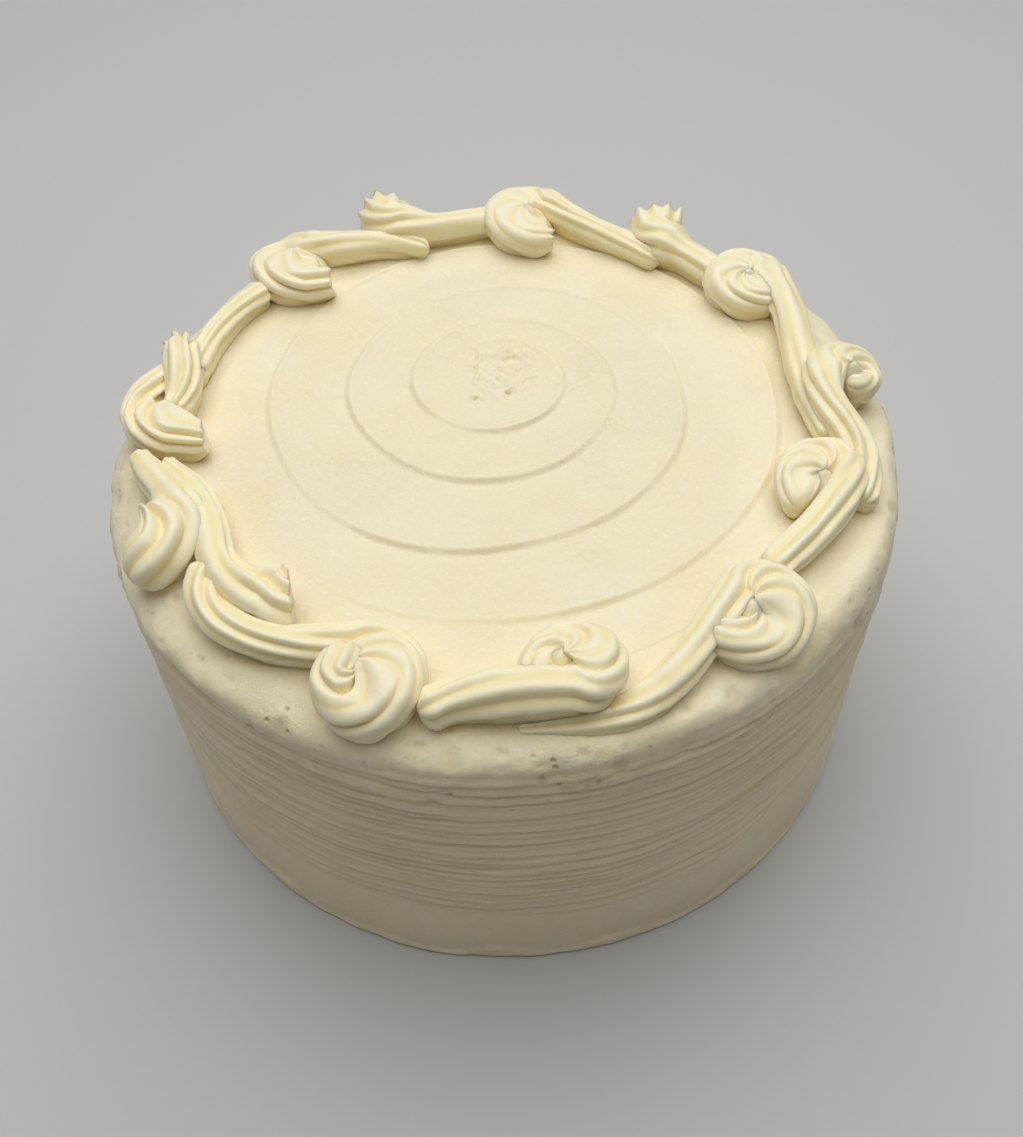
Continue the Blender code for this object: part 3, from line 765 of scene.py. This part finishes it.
def route(scroll):
    """The scroll from above: its points, how far along each lies, and how far along the head ends."""
    side = 1.0 if scroll.turn > 0 else -1.0
    share = np.linspace(0.0, 1.0, ROUTE_SAMPLES // 3)
    angle = np.radians(scroll.heading - 90.0 * side + scroll.turn * share)
    radius = MM * (scroll.turn_radius[0] + (scroll.turn_radius[1] - scroll.turn_radius[0]) * share)
    head = on_plan(scroll.head) + radius[:, None] * np.stack([np.cos(angle), np.sin(angle)], -1)
    if scroll.straight > 0.0:
        start = unit(head[1] - head[0])
        back = MM * scroll.straight * np.linspace(1.0, 0.0, ROUTE_SAMPLES // 10)[:-1]
        head = np.vstack([head[0] - start * back[:, None], head])
    leave = unit(head[-1] - head[-2])
    end = on_plan(scroll.tail)
    span = np.linalg.norm(end - head[-1])
    arrive = np.array([math.cos(math.radians(scroll.tail_heading)), math.sin(math.radians(scroll.tail_heading))])
    t = share[1:, None]
    tail = (
        (2.0 * t**3 - 3.0 * t**2 + 1.0) * head[-1]
        + (t**3 - 2.0 * t**2 + t) * leave * span * scroll.pulls[0]
        + (3.0 * t**2 - 2.0 * t**3) * end
        + (t**3 - t**2) * arrive * span * scroll.pulls[1]
    )
    line = np.vstack([head, tail])
    along = np.concatenate([[0.0], np.cumsum(np.linalg.norm(np.diff(line, axis=0), axis=1))])
    even = np.linspace(0.0, along[-1], ROUTE_SAMPLES)
    points = np.stack([np.interp(even, along, line[:, 0]), np.interp(even, along, line[:, 1])], -1)
    return points, even, along[len(head) - 1]


def middle_line(scroll, fade=HEAD_FADE):
    """The scroll's middle line in space, with the rope's radius, bend and filling along it."""
    points, along, head = route(scroll)
    length = along[-1]
    in_head = along / head
    in_tail = (along - head) / (length - head)
    start, top, tail = (MM * value for value in scroll.lift)
    lift = np.where(in_head < 1.0, start + (top - start) * smooth(in_head), top + (tail - top) * smooth(in_tail))
    under = top_height(np.minimum(np.hypot(points[:, 0], points[:, 1]), DRAPE_RADIUS))
    first, middle, last, end = (MM * value for value in scroll.size)
    size = np.where(
        in_head < 1.0,
        first + (middle - first) * smooth(in_head),
        middle + (last - middle) * smooth(in_tail / TAIL_SWELL),
    )
    size = size * (1.0 - (1.0 - end / last) * smooth((along / length - 1.0 + TAIL_TAPER) / TAIL_TAPER))
    heading = np.unwrap(np.arctan2(np.gradient(points[:, 1]), np.gradient(points[:, 0])))
    bend = np.gradient(heading, along)
    fill = 1.0 - smooth((along - HEAD_CLOSED * head) / ((1.0 - HEAD_CLOSED) * head + fade * (length - head)))
    return Line(np.column_stack([points, under + lift]), along, size, bend, fill)


# %% [markdown]
# ## The star section
#
# The nozzle is an open star with eight points. On a straight stretch the crests and the grooves
# are alike. In a head the lobes are pressed together, so they turn round, with sharp creases
# between them, and the inner side reaches in to the middle of the turn and closes the coil. The
# baker's hand doesn't turn with the bend, so the star keeps its direction over the cake while
# the rope turns under it: the ridges wander over the rope, from its outside to its inside, by
# most of the angle that it turns through. That is what gives a head its rosette of lobes.

# %% Star section
RIDGES = 7
UNEVEN_STAR = 0.14
TAIL_GROOVE = 0.19
HEAD_GROOVE = 0.27
GROOVE_VARIES = 0.75
GROOVE_CHANGE = 0.050
TWIST = 1.0
HEIGHT_SHARE = 0.92
FOOT_DEPTH = 1.5
FOOT_SINK = 0.0010
LIFTED_LENGTH = 0.006
PINCH_SHARE = 0.97
NEAREST_EYE = 0.55
FILL_START = 0.009
MOUND = 0.68
CREASE_POWER = 2.4
STRAIGHT_PRESSED = 0.15
HEAD_PRESSED = 0.85
SECTION_POINTS = 98
RING_STEP = 0.00060

Rings = namedtuple("Rings", "centre ahead above radius to_left to_right fill in_head turns_left twist place")


def lobes(angle, pressed):
    """How far into a groove each angle lies: 0 on a crest, 1 in a groove. Pressed lobes are round, with creases."""
    between = np.mod(angle * RIDGES / (2.0 * math.pi), 1.0)
    from_crest = 2.0 * np.minimum(between, 1.0 - between)
    wave = 0.5 - 0.5 * np.cos(math.pi * from_crest)
    crease = from_crest**CREASE_POWER
    return wave + pressed * (crease - wave)


def rope_rings(scroll, start, seed, place):
    """What every ring at these distances along the rope needs: its middle, directions, reaches and twist."""
    line = middle_line(scroll, start.fade)

    def along_line(values):
        return np.interp(place, line.along, values)

    centre = np.stack([along_line(line.points[:, axis]) for axis in range(3)], -1)
    direction = np.gradient(line.points, axis=0)
    ahead = unit(np.stack([along_line(direction[:, axis]) for axis in range(3)], -1))
    right = unit(np.cross(ahead, (0.0, 0.0, 1.0)))
    above = np.cross(right, ahead)
    radius = along_line(line.size)
    bend = along_line(line.bend)
    fill = start.closed * along_line(line.fill) * (start.opens + (1.0 - start.opens) * smooth(place / FILL_START))
    turns_left = np.full(len(place), scroll.turn > 0.0)
    pinch = np.minimum(radius, PINCH_SHARE / np.maximum(np.abs(bend), 1.0))
    to_left = -right * np.where(bend > 0.0, pinch, radius)[:, None]
    to_right = right * np.where(bend < 0.0, pinch, radius)[:, None]
    inwards = np.where(turns_left[:, None], -right, right)
    to_eye = np.append(on_plan(scroll.head) + MM * np.array(start.eye), 0.0) - centre * (1.0, 1.0, 0.0)
    to_eye = to_eye * PINCH_SHARE
    short = np.maximum(0.0, NEAREST_EYE * radius - np.sum(to_eye * inwards, axis=-1))
    to_eye = to_eye + short[:, None] * inwards
    closing = fill[:, None] * (to_eye - np.where(turns_left[:, None], to_left, to_right))
    to_left = to_left + np.where(turns_left[:, None], closing, 0.0)
    to_right = to_right + np.where(turns_left[:, None], 0.0, closing)
    heading = np.unwrap(np.arctan2(direction[:, 1], direction[:, 0]))
    sway = np.stack([place / 0.05, np.zeros(len(place)), np.zeros(len(place))], -1)
    turned = along_line(heading) - heading[-1]
    twist = TWIST * turned + 0.10 * uneven(sway, 1.0, seed)
    in_head = along_line(line.fill)
    return Rings(centre, ahead, above, radius, to_left, to_right, fill, in_head, turns_left, twist, place)


def section(rings, deep, seed):
    """How far each point of each ring lies across, as a share, and above its middle, and how deep in a groove, which
    paints bounce light into the grooves.
    """
    count = len(rings.place)
    angle = 2.0 * math.pi * np.arange(SECTION_POINTS) / SECTION_POINTS
    cosine = np.cos(angle)[None, :]
    sine = np.sin(angle)[None, :]
    inside = np.where(rings.turns_left[:, None], cosine < 0.0, cosine >= 0.0)
    from_top = np.mod(angle[None, :] + 0.5 * math.pi, 2.0 * math.pi) - math.pi
    phase = from_top - rings.twist[:, None]
    phase = phase + UNEVEN_STAR * (np.sin(phase + seed) + 0.6 * np.sin(2.0 * phase + 0.7 * seed))
    pressed = STRAIGHT_PRESSED + (HEAD_PRESSED - STRAIGHT_PRESSED) * rings.fill[:, None]
    groove = lobes(phase, pressed)
    which = np.floor(phase * RIDGES / (2.0 * math.pi))
    varied = np.stack([
        np.repeat(rings.place[:, None], SECTION_POINTS, 1) / GROOVE_CHANGE,
        3.7 * which,
        np.zeros((count, SECTION_POINTS)),
    ], -1)
    uneven_depth = np.clip(0.95 + GROOVE_VARIES * uneven(varied, 1.0, seed + 1), 0.2, 1.4)
    closing = rings.fill[:, None] * inside
    at_middle = 1.0 - closing * smooth((np.abs(cosine) - 0.70) / 0.30)
    full = TAIL_GROOVE + (HEAD_GROOVE - TAIL_GROOVE) * smooth(3.0 * rings.in_head)[:, None]
    share = 1.0 - full * deep * uneven_depth * groove * at_middle
    spread_foot = np.where(sine < 0.0, np.abs(cosine) ** 0.85, np.abs(cosine)) * np.sign(cosine)
    across = (share + closing * (1.0 - share)) * spread_foot
    mound = MOUND * rings.fill[:, None] * inside * cosine**2 * np.where(sine >= 0.0, 1.0, 1.0 + sine)
    rise = rings.radius[:, None] * HEIGHT_SHARE * share * (sine + mound)
    # The groove depth is returned as the colour share: painted warm bounce light in the grooves of the rope.
    return across, rise, groove * at_middle


def set_rings(rings, across, rise):
    """The points of each ring in space."""
    sideways = np.where((across < 0.0)[..., None], rings.to_left[:, None, :], rings.to_right[:, None, :])
    return rings.centre[:, None, :] + np.abs(across)[..., None] * sideways + rise[..., None] * rings.above[:, None, :]


def spread_on_icing(points, rings, lifted):
    """The lowest part of the rope drawn down to the icing, except at a mouth, where it stays lifted."""
    sine = np.sin(2.0 * math.pi * np.arange(SECTION_POINTS) / SECTION_POINTS)[None, :]
    distance = np.hypot(points[..., 0], points[..., 1])
    lowest = rings.centre[:, None, 2] - FOOT_DEPTH * rings.radius[:, None]
    foot = np.maximum(top_height(distance) - FOOT_SINK, lowest)
    low = smooth((-sine - 0.50) / 0.45) * (1.0 - lifted * smooth(1.0 - rings.place / LIFTED_LENGTH))[:, None]
    points[..., 2] = (1.0 - low) * points[..., 2] + low * np.minimum(points[..., 2], foot)
    return points


# %% [markdown]
# ## Where the nozzle touches down
#
# Most scrolls start with an open mouth: the star's eight lobes end there in torn, pointed tips
# that flare out a little, the upper ones reaching further than the lower ones, so a dark gap shows
# under them. Where the rope starts over the edge, the mouth leans the other way and the tips stand
# up as a crown. A few scrolls start inside their own head, where only a rounded nose can be seen.
# The table gives each scroll's kind of start: how far the mouth leans in degrees, how long its
# tips are in millimetres (none for a nose), how far the inner side closes the head, the share of
# its thickness at the mouth, and how deep its grooves are against the others.

# %% Kinds of start
Start = namedtuple("Start", "lean tooth taper closed opens fade eye shrink wide deep")
STARTS = (
    Start(5, 0.8, 0.30, 1.0, 0.7, 0.12, (-1.0, -1.5), 0.92, 1.0, 0.85),
    Start(10, 2.3, 0.0, 0.0, 0.0, 0.12, (0.0, 0.0), 0.70, 1.20, 0.7),
    Start(0, 0.0, 0.0, 1.0, 1.0, 0.22, (-0.4, -1.0), 1.0, 1.0, 0.9),
    Start(0, 0.0, 0.0, 1.0, 1.0, 0.30, (-0.4, -0.4), 1.0, 1.0, 1.1),
    Start(0, 0.0, 0.0, 1.0, 1.0, 0.40, (-1.5, -1.5), 1.0, 1.0, 1.1),
    Start(0, 0.0, 0.0, 1.0, 0.3, 0.25, (-1.0, -2.5), 1.0, 1.0, 1.2),
    Start(0, 0.0, 0.0, 1.0, 0.2, 0.12, (-2.8, 1.2), 1.0, 1.0, 1.1),
    Start(0, 0.0, 0.0, 1.0, 0.3, 0.12, (-1.5, 2.0), 1.0, 1.0, 1.1),
    Start(0, 0.7, 0.20, 0.7, 0.9, 0.12, (0.0, 0.0), 0.92, 1.10, 1.2),
    Start(0, 0.0, 0.0, 1.0, 0.2, 0.12, (0.0, 3.0), 1.0, 1.0, 1.2),
    Start(12, 1.0, 0.35, 0.6, 0.8, 0.12, (0.0, 0.0), 0.90, 1.0, 1.1),
    Start(14, 1.4, 0.0, 0.0, 0.0, 0.12, (0.0, 0.0), 0.92, 1.1, 1.1),
    Start(10, 1.0, 0.20, 1.0, 0.7, 0.12, (0.0, 0.0), 0.90, 1.0, 1.0),
    Start(10, 2.6, 0.0, 0.0, 0.0, 0.12, (0.0, 0.0), 0.72, 1.25, 0.7),
)
SECOND_START = Start(0, 0.0, 0.0, 0.0, 0.0, 0.12, (0.0, 0.0), 1.0, 1.0, 1.0)
LEAN_LENGTH = 0.009
SHRINK_LENGTH = 0.014
TAPER_LENGTH = 0.0045
MOUTH_DEPTH = 0.45
CROWN_SHRINK = 0.85
CROWN_TEETH = 11
CROWN_RAISE = math.radians(40.0)
FLARE = 0.10
FLARE_LENGTH = 0.003
TIP_RINGS = 8
MOUTH = ((0.95, 0.0002), (0.86, 0.0007), (0.72, 0.0015), (0.52, 0.0023), (0.27, 0.0029))
NOSE_ANGLES = (74.0, 58.0, 40.0, 20.0)
NOSE_POINT = 0.9
NOSE_DEPTH = 0.55
NOSE_LENGTH = 0.008


def open_mouth(rings, points, groove, start, seed):
    """A start with torn tips: the first rings lean and flare, the crests reach back, and the face is hollow."""
    points = points.copy()
    full_lean = math.radians(start.lean)
    lean = full_lean * smooth(1.0 - rings.place / LEAN_LENGTH)
    flare = 1.0 + FLARE * np.exp(-rings.place / FLARE_LENGTH)
    for number in np.flatnonzero(rings.place < LEAN_LENGTH):
        offset = flare[number] * (points[number] - rings.centre[number])
        height = offset @ rings.above[number]
        turned = math.sin(lean[number]) * rings.ahead[number] + (math.cos(lean[number]) - 1.0) * rings.above[number]
        points[number] = rings.centre[number] + offset + height[:, None] * turned
    crown = start.shrink < CROWN_SHRINK
    raised = full_lean + (CROWN_RAISE if crown else 0.0)
    back = -math.cos(raised) * rings.ahead[0] + math.sin(raised) * rings.above[0]
    back = back + 0.25 * (points[0] - rings.centre[0]) / rings.radius[0]
    which = np.round(np.arange(SECTION_POINTS) * RIDGES / SECTION_POINTS - rings.twist[0] * RIDGES / (2.0 * math.pi))
    ragged = 1.0 + 0.5 * uneven(np.stack([1.7 * which, 0.0 * which, 0.0 * which], -1), 1.0, seed + 5)
    upper = smooth((np.sin(2.0 * math.pi * np.arange(SECTION_POINTS) / SECTION_POINTS) + (0.2 if crown else 0.3)) / 0.9)
    if crown:
        upper = upper**3
        tooth = np.mod(np.arange(SECTION_POINTS) * CROWN_TEETH / SECTION_POINTS, 1.0)
        pointed = 1.0 - np.abs(2.0 * tooth - 1.0)
    else:
        pointed = (1.0 - groove[0]) ** 1.1
    tips = MM * start.tooth * ragged * (0.15 + 0.85 * upper) * pointed
    for number in range(TIP_RINGS):
        points[number] += (tips * (1.0 - number / TIP_RINGS) ** 2)[:, None] * back
    made = []
    inward = rings.ahead[0]
    for share, depth in reversed(MOUTH):
        ring = rings.centre[0] + share * (points[0] - rings.centre[0])
        made.append(ring + depth * inward + (0.7 * (1.0 - share**3) * share * tips)[:, None] * inward)
    return points, np.array(made), np.array(made[0]).mean(axis=0)


def rounded_nose(rings, points):
    """A start that is only a rounded end."""
    made = []
    for angle in NOSE_ANGLES:
        share = math.cos(math.radians(angle))
        back = NOSE_POINT * rings.radius[0] * math.sin(math.radians(angle))
        made.append(rings.centre[0] + share * (points[0] - rings.centre[0]) - back * rings.ahead[0])
    return np.array(made), rings.centre[0] - NOSE_POINT * rings.radius[0] * rings.ahead[0]


# %% [markdown]
# ## Scroll pieces
#
# The rope ends as a rounded tip where the nozzle lets go, mostly under the next head. Under each
# head the icing that is pressed into the middle of the coil closes it from below. Each scroll
# becomes one piece. The route is sampled every 0.6 mm and the section at 96 points, which is
# enough to keep eight ridges smooth, and the whole rope is pushed about by a few tenths of a
# millimetre, because no hand presses evenly.

# %% Scroll pieces
END_ANGLES = (20.0, 40.0, 58.0, 74.0)
END_POINTS = {1: 1.2, 13: 1.2}
END_POINT = 0.7
ENCLOSED_TURN = 130.0
HUB_SHARE = 0.80
HUB_HEIGHT = 0.10
BULB_HEIGHT = 0.75
BULB_RADIUS = 0.0030
HUB_RINGS = 12


def rope(scroll, seed, start, end_point):
    """All rings of one stroke from start to end, how hollow each point is, and the two tips."""
    length = middle_line(scroll).along[-1]
    place = np.linspace(0.0, length, int(length / RING_STEP))
    rings = rope_rings(scroll, start, seed, place)
    thickness = 1.0 - (1.0 - start.shrink) * smooth(1.0 - rings.place / SHRINK_LENGTH)
    width = thickness * (1.0 + (start.wide - 1.0) * smooth(1.0 - rings.place / SHRINK_LENGTH))
    if start.tooth > 0.0:
        taper = 1.0 - start.taper * np.maximum(0.0, 1.0 - rings.place / TAPER_LENGTH) ** 2
        thickness = thickness * taper
        width = width * taper
    rings = rings._replace(
        radius=rings.radius * thickness, to_left=rings.to_left * width[:, None], to_right=rings.to_right * width[:, None]
    )
    runs_out = 1.0 - (1.0 - MOUTH_DEPTH) * smooth(1.0 - rings.place / SHRINK_LENGTH) * (start.shrink < CROWN_SHRINK)
    if start.tooth == 0.0:
        runs_out = runs_out * (NOSE_DEPTH + (1.0 - NOSE_DEPTH) * smooth(rings.place / NOSE_LENGTH))
    across, rise, groove = section(rings, (start.deep * runs_out)[:, None], seed)
    points = spread_on_icing(set_rings(rings, across, rise), rings, start.tooth > 0.0)
    if start.tooth > 0.0:
        points, first, first_tip = open_mouth(rings, points, groove, start, seed)
    else:
        first, first_tip = rounded_nose(rings, points)
    end = []
    for angle in END_ANGLES:
        share = math.cos(math.radians(angle))
        forward = end_point * rings.radius[-1] * math.sin(math.radians(angle))
        end.append(rings.centre[-1] + share * (points[-1] - rings.centre[-1]) + forward * rings.ahead[-1])
    end_tip = rings.centre[-1] + end_point * rings.radius[-1] * rings.ahead[-1]
    centres = np.concatenate([
        np.repeat(rings.centre[:1], len(first), 0),
        rings.centre,
        np.repeat(rings.centre[-1:], len(end), 0),
    ])
    every = np.concatenate([first, points, np.array(end)])
    wobble = 0.00016 * uneven(every, 0.015, seed + 2) + 0.00007 * uneven(every, 0.0055, seed + 3)
    every = every + unit(every - centres[:, None, :]) * wobble[..., None]
    depth = np.concatenate([np.repeat(groove[:1], len(first), 0), groove, np.repeat(groove[-1:], len(end), 0)])
    return every, depth, np.array([first_tip, end_tip])


def hub(scroll, eye, seed):
    """The icing in the middle of a head: a low dome that the lobes close round."""
    middle = on_plan(scroll.head) + MM * np.array(eye)
    reach = MM * HUB_SHARE * 0.5 * sum(scroll.turn_radius)
    size = MM * scroll.size[1]
    level = float(top_height(np.hypot(*middle))) + MM * 0.5 * (scroll.lift[0] + scroll.lift[1])
    around = 2.0 * math.pi * np.arange(SECTION_POINTS) / SECTION_POINTS
    rings = []
    for ring in range(1, HUB_RINGS + 1):
        share = ring / HUB_RINGS
        bulb = BULB_HEIGHT * math.exp(-((share * reach / BULB_RADIUS) ** 2))
        low = level - size + (HUB_HEIGHT + bulb + math.sqrt(max(0.0, 1.0 - share**3))) * size
        rings.append(np.stack([
            middle[0] + share * reach * np.cos(around),
            middle[1] + share * reach * np.sin(around),
            np.full(SECTION_POINTS, low),
        ], -1))
    rings.append(rings[-1] - (0.0, 0.0, size))
    rings = np.array(rings)
    rings[..., 2] += 0.00025 * uneven(rings, 0.004, seed + 9)
    tips = np.array([[*middle, rings[0, :, 2].mean()], [*middle, rings[-1, :, 2].mean()]])
    # The hub is coloured half way to the groove colour: painted shade in the middle of the coil.
    return rings, np.full(rings.shape[:2], 0.5), tips


def make_scroll(number, strokes):
    """One scroll of the border: its strokes of the nozzle, each with its start, and the hub of its head."""
    parts = []
    if abs(strokes[0][0].turn) > ENCLOSED_TURN:
        parts.append(hub(strokes[0][0], strokes[0][1].eye, 100 * number))
    for turn, (stroke, start) in enumerate(strokes):
        parts.append(rope(stroke, 100 * number + 50 * turn, start, END_POINTS.get(number, END_POINT)))
    points, faces, hollow = [], [], []
    first = 0
    for rings, depth, tips in parts:
        count = len(rings) * SECTION_POINTS
        points.append(np.vstack([rings.reshape(-1, 3), tips]))
        # The tips are coloured part way to the groove colour: painted shade at the middle of each end.
        hollow.append(np.concatenate([depth.reshape(-1), [0.6, 0.3]]))
        start_ring = first + np.arange(SECTION_POINTS)
        end_ring = first + count - SECTION_POINTS + np.arange(SECTION_POINTS)
        faces.append(grid_faces(len(rings), SECTION_POINTS, first))
        faces.append(fan_faces(start_ring, first + count, True))
        faces.append(fan_faces(end_ring, first + count + 1, False))
        first += count + 2
    name = f"scroll_{number:02d}"
    return new_piece(
        "piped_" + name, np.vstack(points), faces, smooth(np.concatenate(hollow)), piped_icing, name
    )


for number, (scroll, start) in enumerate(zip(SCROLLS, STARTS), start=1):
    strokes = [(scroll, start)]
    if number == SECOND_STROKE_OF:
        strokes.append((SECOND_STROKE, SECOND_START))
    make_scroll(number, strokes)
